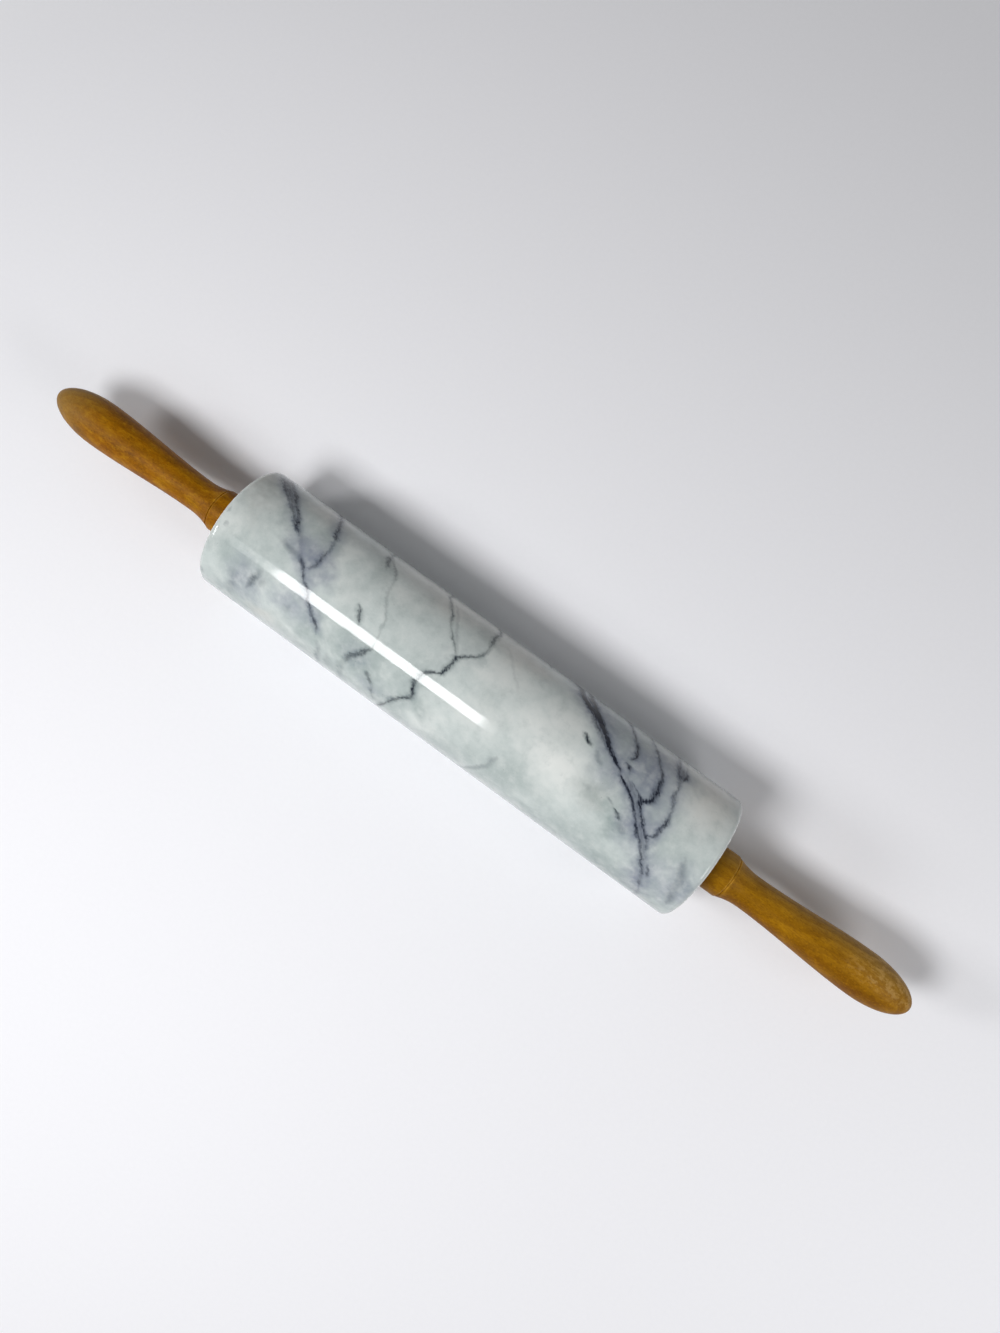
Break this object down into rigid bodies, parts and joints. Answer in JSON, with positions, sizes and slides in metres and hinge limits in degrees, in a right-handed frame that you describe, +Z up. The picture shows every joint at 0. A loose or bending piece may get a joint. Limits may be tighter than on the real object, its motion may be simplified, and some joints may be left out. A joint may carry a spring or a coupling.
{
  "type": "marble rolling pin",
  "caption": "Rolling pin with a polished marble barrel that spins on a steel axle between turned wooden handles.",
  "frame": {"origin": "on the spin axis, at the middle of the barrel", "axes": "+X along the spin axis towards the right handle, +Z up from the surface the barrel lies on"},
  "size_m": [0.468, 0.06, 0.06],
  "materials": {
    "marble": "polished white marble with grey-violet veins",
    "varnished_wood": "amber varnished beech, a little worn at the ends",
    "steel": "bright drawn steel",
    "nylon": "white nylon",
    "brass": "plain turned brass"
  },
  "bodies": {
    "axle_and_handles": {"axle_rod": "steel", "left_washer": "steel", "left_lock_nut": "steel", "left_insert": "brass", "left_handle": "varnished_wood", "right_washer": "steel", "right_lock_nut": "steel", "right_insert": "brass", "right_handle": "varnished_wood"},
    "barrel": {"marble_barrel": "marble", "left_bushing": "nylon", "right_bushing": "nylon"}
  },
  "joints": [
    {"name": "barrel_spin", "type": "hinge", "parent": "axle_and_handles", "child": "barrel", "pos_m": [0, 0, 0], "axis": [1, 0, 0], "continuous": true}
  ]
}
